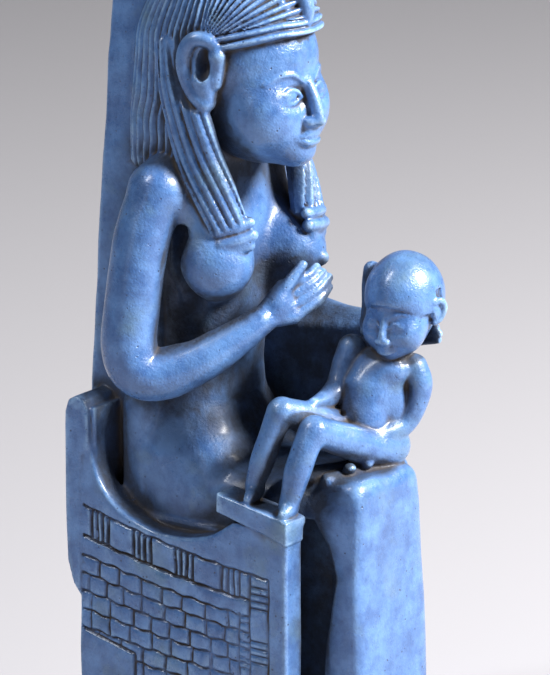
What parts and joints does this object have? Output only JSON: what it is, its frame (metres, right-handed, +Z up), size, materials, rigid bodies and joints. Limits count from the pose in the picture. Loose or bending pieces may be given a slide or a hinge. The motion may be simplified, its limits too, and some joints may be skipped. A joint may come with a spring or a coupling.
{
  "type": "goddess and child figurine",
  "caption": "Small glazed faience figurine of a goddess on a throne nursing a child on her lap, with a tapering back pillar and a base it stands on.",
  "frame": {"origin": "middle of the flat underside of the base, midway between the figurine's outermost points in X and Y", "axes": "+Z up; the goddess faces -Y and her left hand is on the +X side"},
  "size_m": [0.0479, 0.0776, 0.17],
  "materials": {
    "faience": "glossy blue glaze over faience, slightly uneven, with small dark pits, worn paler edges and brown dirt in the crevices"
  },
  "bodies": {
    "root": {"faience_figurine": "faience"}
  },
  "joints": []
}
